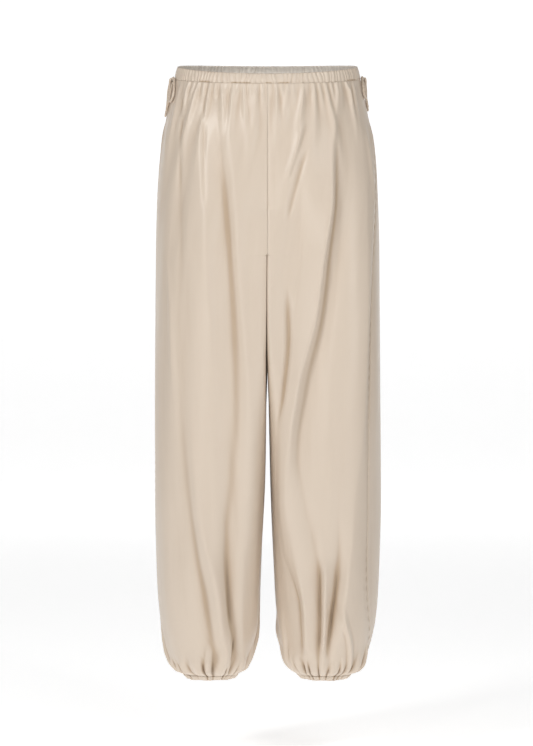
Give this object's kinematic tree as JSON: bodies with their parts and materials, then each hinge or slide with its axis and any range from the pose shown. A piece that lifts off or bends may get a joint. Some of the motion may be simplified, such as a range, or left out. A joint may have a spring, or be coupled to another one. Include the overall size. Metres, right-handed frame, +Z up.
{
  "type": "balloon trousers",
  "caption": "Full-length satin balloon trousers, filled out as worn, with a gathered elastic waist, side drawcord bows and legs drawn into narrow elastic hems.",
  "frame": {"origin": "centre of the waistband, halfway up it, where the wearer's waist holds the garment", "axes": "+Z up, -Y to the front of the garment, +X to the wearer's left"},
  "size_m": [0.3844, 0.2627, 1.0597],
  "materials": {
    "satin": "champagne satin, soft sheen"
  },
  "bodies": {
    "root": {"front_panel_right": "satin", "back_panel_right": "satin", "front_panel_left": "satin", "back_panel_left": "satin", "waistband_front": "satin", "waistband_back": "satin", "hem_casing_right": "satin", "hem_casing_left": "satin", "tie_knot_right": "satin", "tie_loop_front_right": "satin", "tie_loop_back_right": "satin", "tie_end_front_right": "satin", "tie_end_back_right": "satin", "tie_knot_left": "satin", "tie_loop_front_left": "satin", "tie_loop_back_left": "satin", "tie_end_front_left": "satin", "tie_end_back_left": "satin"}
  },
  "joints": []
}
